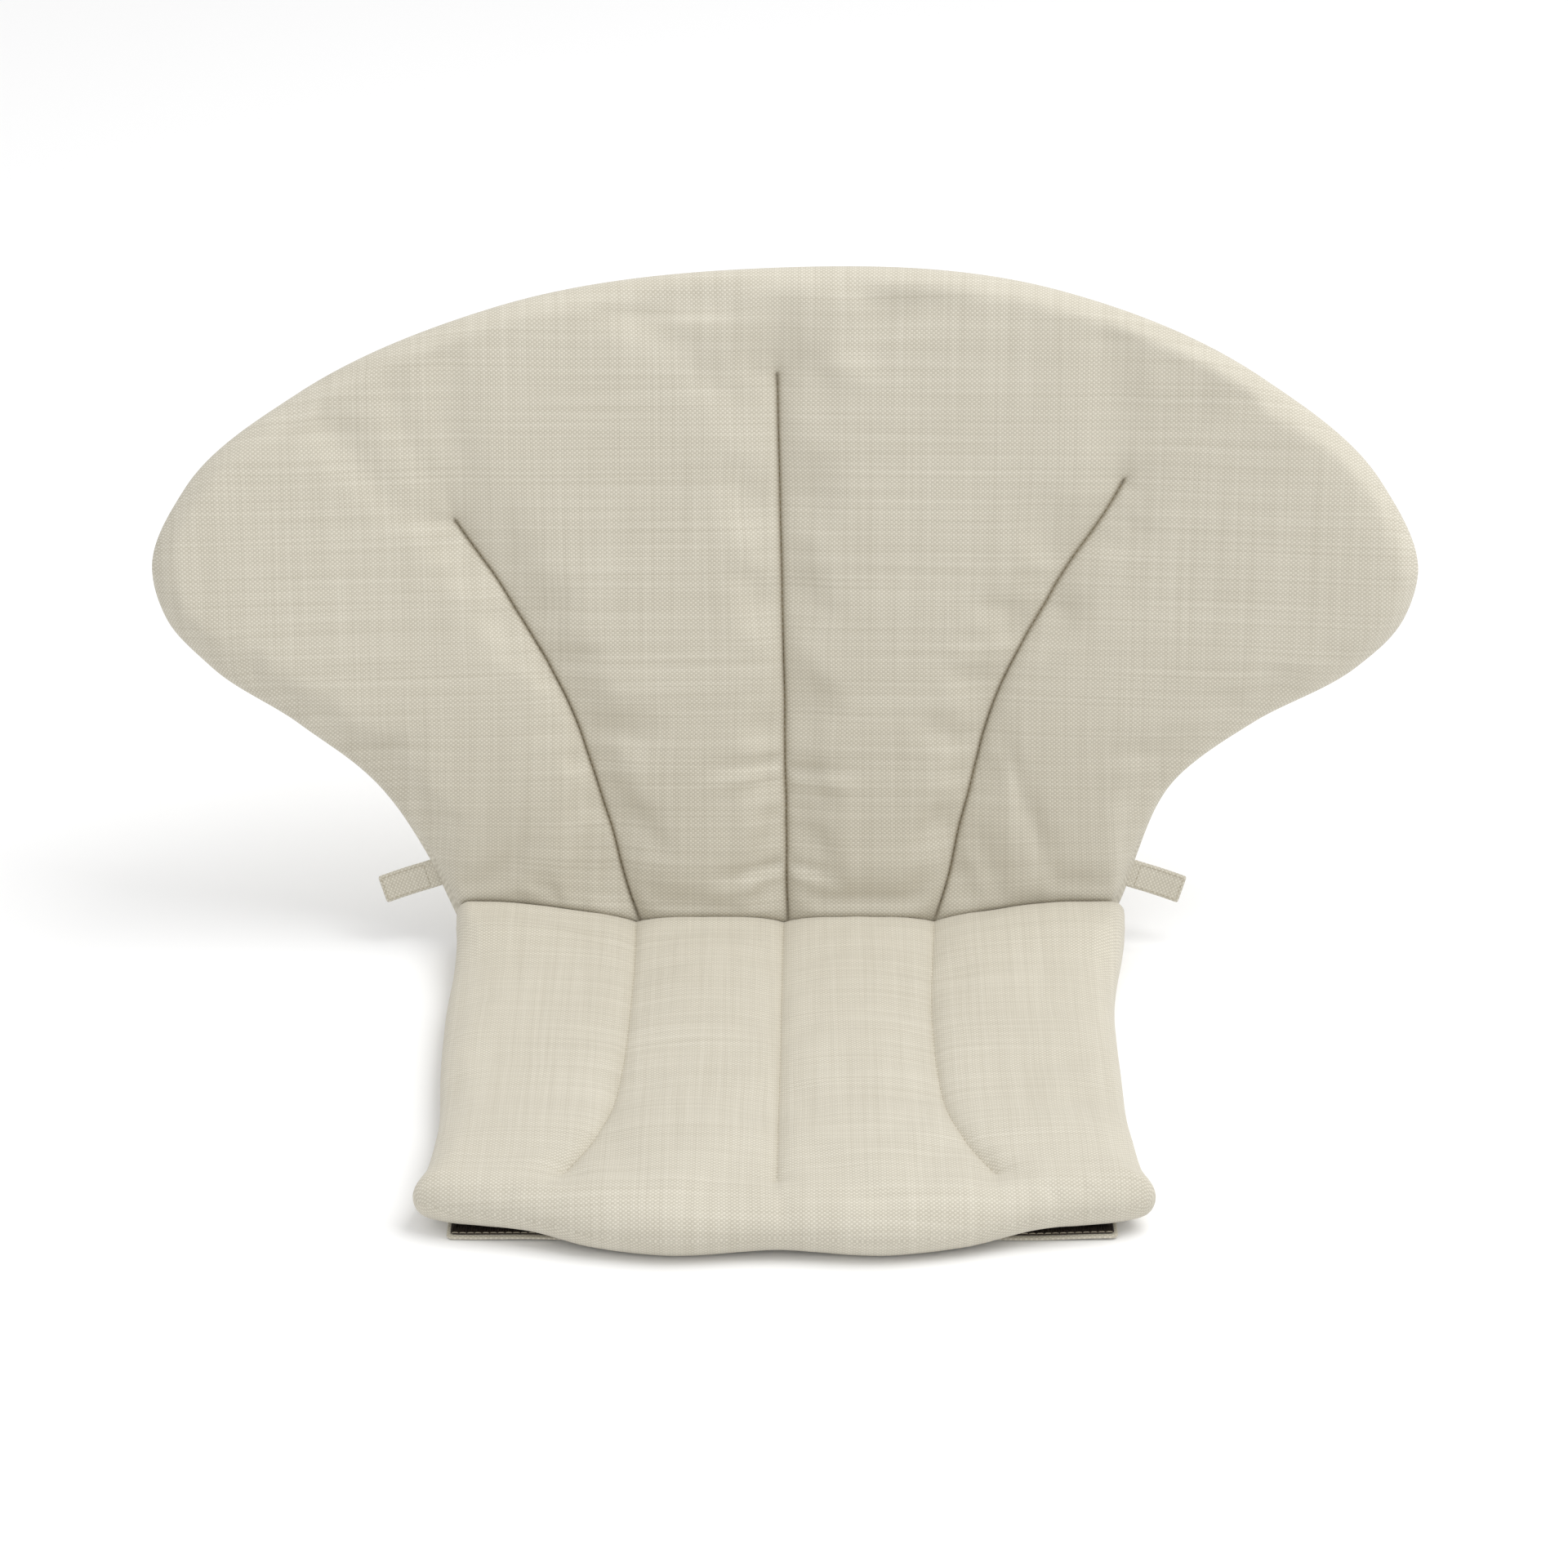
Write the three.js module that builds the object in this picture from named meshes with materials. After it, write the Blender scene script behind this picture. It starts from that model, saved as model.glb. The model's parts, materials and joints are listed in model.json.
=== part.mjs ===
// A wrap-around chair cushion: a fan-shaped padded back joined by a sewn fold to a padded seat, with a
// fastening tab at each lower side of the back and a fastening flap under the seat's front edge.
// Millimetres, +Z up, the seat's front edge towards -Y. Left and right are as seen from the front.
// Both pads are drawn flat in a frame of their own: X across, Y away from the fold, Z out of the soft face.
import * as THREE from "three";

// The seat pad, measured from the fold line.
const SEAT_DEPTH = 260.5;
const SEAT_REAR_HALF_WIDTH = 148;
const SEAT_WAIST_HALF_WIDTH = 139;
const SEAT_CORNER_HALF_WIDTH = 146;
const SEAT_CORNER_DISTANCE = 238;
const SEAT_HALF_THICKNESS = 11;
const SEAT_FRONT_LIFT = 3.8;
const SEAT_LIFT_STARTS = 160;
const SEAT_LIFT_ENDS = 200;

// The back pad.
const BACK_HEIGHT = 290.5;
const BACK_FOOT_HALF_WIDTH = 149.5;
const BACK_SPAN_HALF_WIDTH = 271.5;
const BACK_SPAN_HEIGHT = 165;
const BACK_HALF_THICKNESS = 9.5;
const BACK_LEAN = THREE.MathUtils.degToRad(13);
const BACK_CURVE_RADIUS = 1000;
const BACK_CURVE_STARTS_OVER = 110;

// How the pads are sewn.
const COVER_THICKNESS = 1.2;
const GAP = 0.3;
const EDGE_HALF_THICKNESS = 1.8;
const EDGE_ROUNDING = 25;
const FOLD_CLEARANCE = 2.5;
const FOLD_FACE_SLOPE = 0.42;
const QUILT_COLUMN = 0.445;
const QUILT_HALF_VALLEY = 0.06;
const QUILT_DEPTH = 0.45;
const BACK_QUILT = { splay: 0.31, power: 0.64, ends: { left: 0.71, centre: 0.86, right: 0.77 } };
const SEAT_QUILT = { splay: 0.9, power: 5.2, ends: { left: 0.89, centre: 0.89, right: 0.89 } };
const SIDES = { left: -1, centre: 0, right: 1 };

// Thread, tape and webbing.
const THREAD_WIDTH = 1;
const THREAD_HEIGHT = 0.6;
const FOLD_STRIP_THICKNESS = 1.2;
const TAPE_THICKNESS = 1.2;
const TAB = { length: 21.5, width: 12.5, height: 24, row: 0.095, clearance: 2.4, margin: 1.2 };
const TAB_DROOP = THREE.MathUtils.degToRad(18);
const FLAP = { halfWidth: 135, root: 228, tip: 246, cornerTip: 242, corner: 2.5, margin: 1.5, tapeRoot: 231 };

const paint = (color, roughness) => new THREE.MeshStandardMaterial({ color, roughness, metalness: 0 });
const linen = paint(0xcdc7b7, 0.95);
const wadding = paint(0xf1efe8, 1);
const thread = paint(0x6f6752, 0.8);
const edgeThread = paint(0xc4bda9, 0.8);
const hookTape = paint(0x261f17, 0.9);

// The curved outline of one half: out from the fold along the side, then back in along the far edge.
const curveThrough = (points) => new THREE.SplineCurve(points.map(([x, y]) => new THREE.Vector2(x, y)));

const backOutline = {
  side: curveThrough([
    [BACK_FOOT_HALF_WIDTH, FOLD_CLEARANCE],
    [155.2, 33.5],
    [171, 64.5],
    [206.7, 96],
    [248, 124],
    [BACK_SPAN_HALF_WIDTH, BACK_SPAN_HEIGHT],
  ]),
  far: curveThrough([
    [BACK_SPAN_HALF_WIDTH, BACK_SPAN_HEIGHT],
    [256, 201],
    [206, 242],
    [120, 277.5],
    [0, BACK_HEIGHT],
  ]),
};
const seatOutline = {
  side: curveThrough([
    [SEAT_REAR_HALF_WIDTH, FOLD_CLEARANCE],
    [141.5, 50],
    [SEAT_WAIST_HALF_WIDTH, 130],
    [138.5, 195],
    [142, 220],
    [SEAT_CORNER_HALF_WIDTH, SEAT_CORNER_DISTANCE],
  ]),
  far: curveThrough([
    [SEAT_CORNER_HALF_WIDTH, SEAT_CORNER_DISTANCE],
    [140, 249],
    [124, 255.5],
    [90, 259.5],
    [46, 263],
    [0, SEAT_DEPTH],
  ]),
};

// A grid line number runs from -1 at the left side to 1 at the right, and row from 0 at the fold to 1 at
// the far edge. The columns splay outwards as the quilting does, so that a stitch line follows a column.
function flatPoint({ side, far }, quilt, column, row) {
  const u = column + (quilt.splay * row ** quilt.power * Math.sin(Math.PI * column)) / Math.PI;
  const corner = far.getPointAt(0);
  const sidePoint = side.getPointAt(row);
  const farPoint = far.getPointAt(1 - Math.abs(u));
  return new THREE.Vector2(
    u * sidePoint.x + row * (Math.sign(u) * farPoint.x - u * corner.x),
    sidePoint.y + row * (farPoint.y - corner.y),
  );
}

// The free edge is everything but the fold, so its distance rounds the pad off without thinning the fold.
function distanceToFreeEdge({ side, far }, point) {
  const edge = [...side.getSpacedPoints(60), ...far.getSpacedPoints(60)];
  const mirrored = new THREE.Vector2(Math.abs(point.x), point.y);
  return Math.min(...edge.map((p) => p.distanceTo(mirrored)));
}

const roundedRise = (distance, rounding) =>
  Math.sqrt(1 - (1 - THREE.MathUtils.clamp(distance / rounding, 0, 1)) ** 2);

// How far a quilted seam pulls the face in at a grid node, from 0 to 1.
function quiltPull(quilt, column, row) {
  const nearest = Math.round(column / QUILT_COLUMN);
  if (Math.abs(nearest) > 1) return 0;
  const end = quilt.ends[Object.keys(SIDES).find((name) => SIDES[name] === nearest)];
  const across = 1 - Math.min(1, Math.abs(column - nearest * QUILT_COLUMN) / QUILT_HALF_VALLEY);
  return across * THREE.MathUtils.clamp((end - row) / 0.1, 0, 1);
}

// One pad: where its faces lie above and below the middle of its thickness.
class Pad {
  constructor(outline, quilt, halfThickness, bend) {
    Object.assign(this, { outline, quilt, halfThickness, bend });
  }
  at(column, row) {
    const flat = flatPoint(this.outline, this.quilt, column, row);
    return { column, row, flat, toEdge: distanceToFreeEdge(this.outline, flat) };
  }
  // The soft face, or with inset the face that lies so much deeper inside the pad.
  face(node, inset = 0) {
    const rise = roundedRise(node.toEdge - inset, EDGE_ROUNDING);
    const pulled = 1 - QUILT_DEPTH * quiltPull(this.quilt, node.column, node.row);
    const edge = inset ? GAP / 2 : EDGE_HALF_THICKNESS;
    const height = edge + (this.halfThickness - inset - edge) * rise * pulled;
    const foldLimit = FOLD_FACE_SLOPE * node.flat.y - (inset ? Math.min(inset, 0.6) : 0);
    return Math.max(Math.min(height, foldLimit), edge / 3);
  }
  underside(node, inset = 0) {
    const free = roundedRise(node.toEdge - inset, EDGE_ROUNDING);
    const atFold = roundedRise(node.flat.y - FOLD_CLEARANCE - inset, EDGE_ROUNDING);
    const edge = inset ? GAP / 2 : EDGE_HALF_THICKNESS / 2;
    return -(edge + (this.halfThickness - inset - edge) * Math.min(free, atFold));
  }
}

// The seat lies flat, but its front part rests on the flap. The back is straight along the fold, and
// above it curves round the sitter.
const NO_CURL = 1e-7;
const backCurl = (y) =>
  Math.max(THREE.MathUtils.smoothstep(y, 0, BACK_CURVE_STARTS_OVER) / BACK_CURVE_RADIUS, NO_CURL);
const seatLift = (y) => SEAT_FRONT_LIFT * THREE.MathUtils.smoothstep(y, SEAT_LIFT_STARTS, SEAT_LIFT_ENDS);
const flatBend = (x, y, z) => new THREE.Vector3(x, y, z + seatLift(y));
function arcBend(x, y, z) {
  const curl = backCurl(y);
  const angle = x * curl;
  const reach = 1 / curl - z;
  return new THREE.Vector3(reach * Math.sin(angle), y, 1 / curl - reach * Math.cos(angle));
}

// A closed slab over a grid of nodes: each node gives the points of its upper and its lower skin.
function slab(grid, upper, lower) {
  const rows = grid.length;
  const columns = grid[0].length;
  const points = [...grid.flat().map(upper), ...grid.flat().map(lower)];
  const index = [];
  const quad = (a, b, c, d) => index.push(a, b, c, a, c, d);
  const top = (i, j) => i * columns + j;
  const bottom = (i, j) => rows * columns + top(i, j);
  for (let i = 0; i < rows - 1; i++) {
    for (let j = 0; j < columns - 1; j++) {
      quad(top(i, j), top(i, j + 1), top(i + 1, j + 1), top(i + 1, j));
      index.push(bottom(i, j), bottom(i + 1, j + 1), bottom(i, j + 1));
      index.push(bottom(i, j), bottom(i + 1, j), bottom(i + 1, j + 1));
    }
  }
  for (let j = 0; j < columns - 1; j++) {
    quad(bottom(0, j), bottom(0, j + 1), top(0, j + 1), top(0, j));
    quad(top(rows - 1, j), top(rows - 1, j + 1), bottom(rows - 1, j + 1), bottom(rows - 1, j));
  }
  for (let i = 0; i < rows - 1; i++) {
    quad(top(i, 0), top(i + 1, 0), bottom(i + 1, 0), bottom(i, 0));
    quad(bottom(i, columns - 1), bottom(i + 1, columns - 1), top(i + 1, columns - 1), top(i, columns - 1));
  }
  const geometry = new THREE.BufferGeometry().setFromPoints(points);
  geometry.setIndex(index);
  geometry.computeVertexNormals();
  return geometry;
}

function piece(name, geometry, material) {
  const mesh = new THREE.Mesh(geometry, material);
  mesh.name = name;
  return mesh;
}

// Half of the grid's columns, with three to each stitched valley; the other half mirrors them.
const HALF_COLUMNS = [0, QUILT_HALF_VALLEY, 0.18, 0.3, QUILT_COLUMN - QUILT_HALF_VALLEY, QUILT_COLUMN]
  .concat([QUILT_COLUMN + QUILT_HALF_VALLEY, 0.63, 0.75, 0.86, 0.94, 0.975, 1]);
const COLUMNS = [...HALF_COLUMNS.slice(1).map((c) => -c).reverse(), ...HALF_COLUMNS];
const ROWS = [0, 0.03, 0.07, 0.13, 0.22, 0.33, 0.45, 0.57, 0.68, 0.78, 0.86, 0.93, 0.975, 1];

// Two covers sewn edge to edge around a sheet of padding, which starts one grid line inside them.
function sewnPad(pad, names) {
  const grid = ROWS.map((row) => COLUMNS.map((column) => pad.at(column, row)));
  const inner = grid.slice(1, -1).map((nodes) => nodes.slice(1, -1));
  const place = (node, z) => pad.bend(node.flat.x, node.flat.y, z);
  const padInset = COVER_THICKNESS + GAP;
  const group = new THREE.Group();
  group.add(
    piece(names.upper, slab(grid, (n) => place(n, pad.face(n)), (n) => place(n, insideFace(n))), linen),
    piece(names.lower, slab(grid, (n) => place(n, insideUnderside(n)), (n) => place(n, pad.underside(n))), linen),
    piece(
      names.padding,
      slab(inner, (n) => place(n, pad.face(n, padInset)), (n) => place(n, pad.underside(n, padInset))),
      wadding,
    ),
  );
  return group;

  function insideFace(node) {
    return Math.min(pad.face(node, COVER_THICKNESS), pad.face(node) - 0.4);
  }
  function insideUnderside(node) {
    return Math.max(pad.underside(node, COVER_THICKNESS), pad.underside(node) + 0.4);
  }
}

// A row of thread lying in its valley, from just past the fold to where the quilting ends.
function quiltStitch(pad, name, column, end) {
  const steps = 22;
  const grid = Array.from({ length: steps + 1 }, (_, i) => {
    const node = pad.at(column, THREE.MathUtils.lerp(0.06, end, i / steps));
    return [-0.5, 0.5].map((across) => ({ node, x: node.flat.x + across * THREAD_WIDTH, z: pad.face(node) }));
  });
  const place = ({ node, x, z }, lift) => pad.bend(x, node.flat.y, z + lift);
  const lift = 4 * GAP;
  return piece(name, slab(grid, (n) => place(n, lift + THREAD_HEIGHT), (n) => place(n, lift)), thread);
}

function plate(width, length, corner) {
  const [x, y] = [width / 2, length / 2];
  const shape = new THREE.Shape();
  shape.moveTo(-x + corner, -y).lineTo(x - corner, -y).quadraticCurveTo(x, -y, x, -y + corner);
  shape.lineTo(x, y - corner).quadraticCurveTo(x, y, x - corner, y);
  shape.lineTo(-x + corner, y).quadraticCurveTo(-x, y, -x, y - corner);
  shape.lineTo(-x, -y + corner).quadraticCurveTo(-x, -y, -x + corner, -y);
  return shape;
}
const extrude = (shape, depth) =>
  new THREE.ExtrudeGeometry(shape, { depth, bevelEnabled: false, curveSegments: 4 });

// A fastening tab, drawn to the right from its root: fabric above, hook tape below, stitches on top.
function tab(side) {
  const edge = flatPoint(backOutline, BACK_QUILT, 1, TAB.row).x + TAB.clearance;
  const anchor = new THREE.Group();
  anchor.name = `${side}_tab_root`;
  anchor.position.copy(arcBend(edge, TAB.height, 0));
  anchor.rotation.set(0, -edge * backCurl(TAB.height), -TAB_DROOP, "YXZ");
  const centre = TAB.length / 2;
  const tapeLength = TAB.length - 5;
  const fabric = extrude(plate(TAB.length, TAB.width, 0.8), COVER_THICKNESS);
  fabric.translate(centre, 0, -COVER_THICKNESS / 2);
  const tape = extrude(plate(tapeLength, TAB.width - 1, 0.8), TAPE_THICKNESS);
  tape.translate(TAB.length - tapeLength / 2 - 0.5, 0, -COVER_THICKNESS / 2 - GAP - TAPE_THICKNESS);
  const ring = plate(tapeLength - TAB.margin, TAB.width - 2 * TAB.margin, 0.5);
  ring.holes.push(plate(tapeLength - TAB.margin - 1.4, TAB.width - 2 * TAB.margin - 1.4, 0.3));
  const stitch = extrude(ring, THREAD_HEIGHT / 2);
  stitch.translate(TAB.length - tapeLength / 2 - TAB.margin / 2, 0, COVER_THICKNESS / 2 + GAP);
  anchor.add(
    piece(`${side}_tab_fabric`, fabric, linen),
    piece(`${side}_tab_hook_tape`, tape, hookTape),
    piece(`${side}_tab_stitch`, stitch, edgeThread),
  );
  const mirror = new THREE.Group();
  mirror.scale.x = SIDES[side];
  mirror.add(anchor);
  return mirror;
}

// The front flap's outline: straight where it is sewn on, bowed along its free edge, rounded at the ends.
function flapShape(rootY, tipInset, sideInset) {
  const x = FLAP.halfWidth - sideInset;
  const tip = FLAP.tip - tipInset;
  const end = FLAP.cornerTip - tipInset;
  const shape = new THREE.Shape();
  shape.moveTo(-x, rootY).lineTo(x, rootY).lineTo(x, end - FLAP.corner);
  shape.quadraticCurveTo(x, end, x - FLAP.corner, end + 0.6);
  shape.quadraticCurveTo(0, 2 * tip - end, -x + FLAP.corner, end + 0.6);
  shape.quadraticCurveTo(-x, end, -x, end - FLAP.corner);
  return shape;
}
const flapSheet = (shape, thickness) =>
  new THREE.ExtrudeGeometry(shape, { depth: thickness, bevelEnabled: false, curveSegments: 14 });

function frontFlap() {
  const group = new THREE.Group();
  group.position.z = -SEAT_HALF_THICKNESS + GAP;
  const fabric = flapSheet(flapShape(FLAP.root, 0, 0), COVER_THICKNESS);
  const tape = flapSheet(flapShape(FLAP.tapeRoot, FLAP.margin, FLAP.margin), TAPE_THICKNESS);
  tape.translate(0, 0, COVER_THICKNESS + GAP);
  const stitch = extrude(plate(2 * FLAP.halfWidth - 30, THREAD_WIDTH, 0.3), THREAD_HEIGHT / 2);
  stitch.translate(0, FLAP.cornerTip - 1, COVER_THICKNESS + TAPE_THICKNESS + 2 * GAP);
  group.add(
    piece("front_flap_fabric", fabric, linen),
    piece("front_flap_hook_tape", tape, hookTape),
    piece("front_flap_stitch", stitch, thread),
  );
  return group;
}

// The strip of doubled cover that joins the pads, with its row of stitches on the hidden side.
function foldStrip() {
  const group = new THREE.Group();
  const length = 2 * SEAT_REAR_HALF_WIDTH - 4;
  const strip = new THREE.BoxGeometry(length, FOLD_CLEARANCE - GAP + 0.7, FOLD_STRIP_THICKNESS);
  strip.translate(0, (FOLD_CLEARANCE - GAP - 0.7) / 2, 0);
  const stitch = new THREE.BoxGeometry(length - 4, THREAD_WIDTH, THREAD_HEIGHT);
  stitch.translate(0, FOLD_CLEARANCE / 2, -FOLD_STRIP_THICKNESS / 2 - GAP - THREAD_HEIGHT / 2);
  group.add(piece("fold_seam_strip", strip, linen), piece("fold_seam_stitch", stitch, thread));
  return group;
}

const seatPad = new Pad(seatOutline, SEAT_QUILT, SEAT_HALF_THICKNESS, flatBend);
const backPad = new Pad(backOutline, BACK_QUILT, BACK_HALF_THICKNESS, arcBend);

// The seat runs forwards from the fold, so its frame is turned half round and its left is its +X.
const seat = new THREE.Group();
seat.rotation.z = Math.PI;
seat.add(
  sewnPad(seatPad, { upper: "seat_top_cover", lower: "seat_bottom_cover", padding: "seat_padding" }),
  foldStrip(),
  frontFlap(),
);
const back = new THREE.Group();
back.rotation.x = Math.PI / 2 - BACK_LEAN;
back.add(
  sewnPad(backPad, { upper: "back_front_cover", lower: "back_rear_cover", padding: "back_padding" }),
  tab("left"),
  tab("right"),
);
for (const [name, side] of Object.entries(SIDES)) {
  const column = side * QUILT_COLUMN;
  seat.add(quiltStitch(seatPad, `seat_quilt_stitch_${name}`, -column, SEAT_QUILT.ends[name]));
  back.add(quiltStitch(backPad, `back_quilt_stitch_${name}`, column, BACK_QUILT.ends[name]));
}

// The origin is the middle of the assembly's footprint, on the surface that it stands on.
const cushion = new THREE.Group();
cushion.add(seat, back);
const box = new THREE.Box3().setFromObject(cushion, true);
cushion.position.set(0, -(box.min.y + box.max.y) / 2, -box.min.z);
const part = new THREE.Group();
part.add(cushion);

export default part;
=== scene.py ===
# %% [markdown]
# # A quilted pad for a shell chair
# The object is one soft thing made of two flat cushions. The seat cushion lies down, the back cushion
# stands up behind it and spreads into two wings, and the two are sewn together along a fold. We first
# load the engineering model, because every piece made here has to sit on it.

# %% Load the frame
import json
import math
import bpy
import numpy as np
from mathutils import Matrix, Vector


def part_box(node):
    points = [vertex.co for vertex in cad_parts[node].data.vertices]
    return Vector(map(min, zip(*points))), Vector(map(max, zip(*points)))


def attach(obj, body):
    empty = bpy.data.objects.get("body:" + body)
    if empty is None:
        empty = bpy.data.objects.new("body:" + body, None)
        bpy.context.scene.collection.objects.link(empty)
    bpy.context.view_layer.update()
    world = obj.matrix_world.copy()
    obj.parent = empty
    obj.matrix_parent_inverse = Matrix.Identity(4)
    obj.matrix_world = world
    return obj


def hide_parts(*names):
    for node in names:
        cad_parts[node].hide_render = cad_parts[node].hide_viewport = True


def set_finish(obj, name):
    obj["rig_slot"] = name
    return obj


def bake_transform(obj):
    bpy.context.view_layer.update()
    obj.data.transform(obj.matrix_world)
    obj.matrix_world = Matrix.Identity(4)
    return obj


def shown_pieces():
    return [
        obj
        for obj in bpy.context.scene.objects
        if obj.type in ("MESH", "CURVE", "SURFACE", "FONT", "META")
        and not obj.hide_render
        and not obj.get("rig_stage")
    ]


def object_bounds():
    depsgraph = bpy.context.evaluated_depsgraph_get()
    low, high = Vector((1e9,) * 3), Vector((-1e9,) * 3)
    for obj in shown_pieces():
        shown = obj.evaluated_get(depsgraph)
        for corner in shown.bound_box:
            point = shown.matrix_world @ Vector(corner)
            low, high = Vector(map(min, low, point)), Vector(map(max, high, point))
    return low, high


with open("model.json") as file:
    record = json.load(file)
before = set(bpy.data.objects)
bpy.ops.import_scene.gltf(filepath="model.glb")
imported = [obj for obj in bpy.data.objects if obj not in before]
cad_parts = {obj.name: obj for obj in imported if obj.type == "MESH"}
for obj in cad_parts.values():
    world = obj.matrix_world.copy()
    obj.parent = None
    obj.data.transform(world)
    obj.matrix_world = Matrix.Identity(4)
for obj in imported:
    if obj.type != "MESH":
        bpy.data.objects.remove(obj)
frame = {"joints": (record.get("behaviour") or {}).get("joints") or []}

CAD_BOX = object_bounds()
MM = 0.001
JOINTS = {joint["name"]: joint for joint in frame["joints"]}
FOLD = Vector(JOINTS["back_fold"]["pos_m"])
LEAN = math.radians(13)
RANDOM = np.random.default_rng(26)

# %% [markdown]
# ## The cut of a cushion
# A cutter draws half of each cushion and folds the cloth to get the other half. So an outline here is a
# few points of the right-hand half: its side, from the fold up to the corner, and its far edge, from
# the corner to the middle. A smooth curve runs through both, and is split again at the corner. The
# points are in millimetres from the fold, as on a paper pattern. The tangents come from the two
# neighbours of each point, weighted by their distance, so that close points don't make the curve
# overshoot.

# %% Smooth outlines
SPAN_STEPS = 60


def smooth_outline(side, far):
    """The side and the far edge of half a cushion, each as many points at even steps."""
    knots = np.array(side + far[1:], float)
    before, mirrored = 2 * knots[0] - knots[1], knots[-2] * (-1, 1)
    knots = np.vstack([before, knots, mirrored])
    leap = np.diff(knots, axis=0)
    chord = np.linalg.norm(leap, axis=1)[:, None]
    slope = leap / chord
    tangent = (slope[:-1] * chord[1:] + slope[1:] * chord[:-1]) / (chord[:-1] + chord[1:])
    t = np.linspace(0, 1, SPAN_STEPS, endpoint=False)[:, None]
    spans = [
        (2 * t**3 - 3 * t**2 + 1) * a + (t**3 - 2 * t**2 + t) * long * ta
        + (3 * t**2 - 2 * t**3) * b + (t**3 - t**2) * long * tb
        for a, b, ta, tb, long in zip(knots[1:-2], knots[2:-1], tangent, tangent[1:], chord[1:-1])
    ]
    corner = len(side) - 1
    return (
        np.vstack(spans[:corner] + [knots[len(side)]]),
        np.vstack(spans[corner:] + [knots[-2]]),
    )


def along(curve, share):
    """The points of a curve at given shares of its length."""
    length = np.r_[0, np.cumsum(np.linalg.norm(np.diff(curve, axis=0), axis=1))]
    at = share * length[-1]
    return np.stack([np.interp(at, length, curve[:, axis]) for axis in (0, 1)], -1)


SEAT_CORNER, BACK_CORNER = (145.2, 238), (271.5, 165)
SEAT_OUTLINE = smooth_outline(
    side=[(147, 0.4), (142.8, 50), (140.7, 130), (139.8, 195), (142, 220), SEAT_CORNER],
    far=[SEAT_CORNER, (134.5, 243.5), (119, 246.5), (99, 250.5), (74, 258), (46, 263), (0, 260.5)],
)
BACK_OUTLINE = smooth_outline(
    side=[
        (142, 0.4), (148, 14), (155.2, 33.5), (171, 64.5),
        (206.7, 96), (247.5, 123), (265.8, 144), BACK_CORNER,
    ],
    far=[BACK_CORNER, (256, 201), (206, 242), (120, 277.5), (0, 289.8)],
)
print("wing to wing", 2 * BACK_CORNER[0], "mm, seat", SEAT_OUTLINE[1][-1][1], "mm deep")

# %% [markdown]
# ## A grid that follows the quilting
# Both cushions are sewn through along three lines that fan out from the fold. If the mesh has a column
# of vertices exactly on each line, the groove can be as sharp as real stitching, with no cutting of the
# mesh. So the stations of the grid crowd together at the quilt lines and at the edges, where the cloth
# turns quickly, and are wide apart between them. Rows run from the fold, 0, to the far edge, 1. Columns
# run from -1 to 1, and the fan is one sine that pushes them outwards with the row.

# %% Stations and the fan
QUILT_COLUMNS = {"left": -0.445, "centre": 0.0, "right": 0.445}
COLUMN_STOPS = [-1, *QUILT_COLUMNS.values(), 1]


def stations(stops, fine, coarse, growth=1.35):
    """Values from the first stop to the last that crowd together at every stop."""
    values = [stops[0]]
    for start, end in zip(stops, stops[1:]):
        half, step, walk = (end - start) / 2, fine, [0.0]
        while walk[-1] < half:
            walk.append(walk[-1] + step)
            step = min(step * growth, coarse)
        walk = np.array(walk[1:]) * half / walk[-1]
        values += list(start + walk) + list(end - walk[-2::-1]) + [end]
    return np.array(values)


def even_stations(stops, step):
    """Values from the first stop to the last in even steps, with every stop among them."""
    parts = [
        np.linspace(start, end, max(2, round((end - start) / step)) + 1)[1:]
        for start, end in zip(stops, stops[1:])
    ]
    return np.r_[stops[0], np.concatenate(parts)]


print("stops for the columns", COLUMN_STOPS)

# %% [markdown]
# ## What a cushion knows
# A `Cushion` holds what a seamstress would note about one pad: its outline, how the quilt lines fan and
# where each one ends, how thick it is, and how soft its grooves are. `flat` lays a grid of columns and
# rows into the outline (a Coons patch: each point is an even mix of the side and of the far edge).

# %% The cushion's pattern
def smoothstep(value, start, end):
    t = np.clip((value - start) / (end - start), 0, 1)
    return t * t * (3 - 2 * t)


def rolled(distance, radius):
    """The height of a rounded edge, from 0 at the seam to 1 a radius further in."""
    return np.sqrt(1 - (1 - np.clip(distance / radius, 0, 1)) ** 2)


class Cushion:
    """One quilted pad, with its measures in millimetres."""

    def __init__(self, outline, fan, fan_power, ends, half, sway, columns, rows):
        self.side, self.far = outline
        self.fan, self.fan_power, self.ends, self.half = fan, fan_power, ends, half
        self.middle_sway, self.edge_sway, self.shoulder = sway
        self.columns, self.rows = columns, rows

    def swayed(self, x, y, u, row):
        """Hand cutting and sewing leave the pad a few millimetres out of true."""
        fold, far = self.middle_sway
        middle = fold + (far - fold) * row
        foot, waist, tip = self.edge_sway
        edge = foot + (waist - foot) * smoothstep(row, 0.05, 0.38)
        edge = edge + (tip - waist) * smoothstep(row, 0.45, 0.85)
        x = x + middle * (1 - u**2) + edge * u**2
        return x, y + self.shoulder * np.sin(np.pi * u) * row**2

    def flat(self, columns, rows):
        column, row = np.meshgrid(columns, rows)
        u = column + self.fan * row**self.fan_power * np.sin(np.pi * column) / np.pi
        side, far = along(self.side, row), along(self.far, 1 - np.abs(u))
        corner = self.side[-1]
        x = u * side[..., 0] + row * (np.sign(u) * far[..., 0] - u * corner[0])
        y = side[..., 1] + row * (far[..., 1] - corner[1])
        return self.swayed(x, y, u, row)


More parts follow.
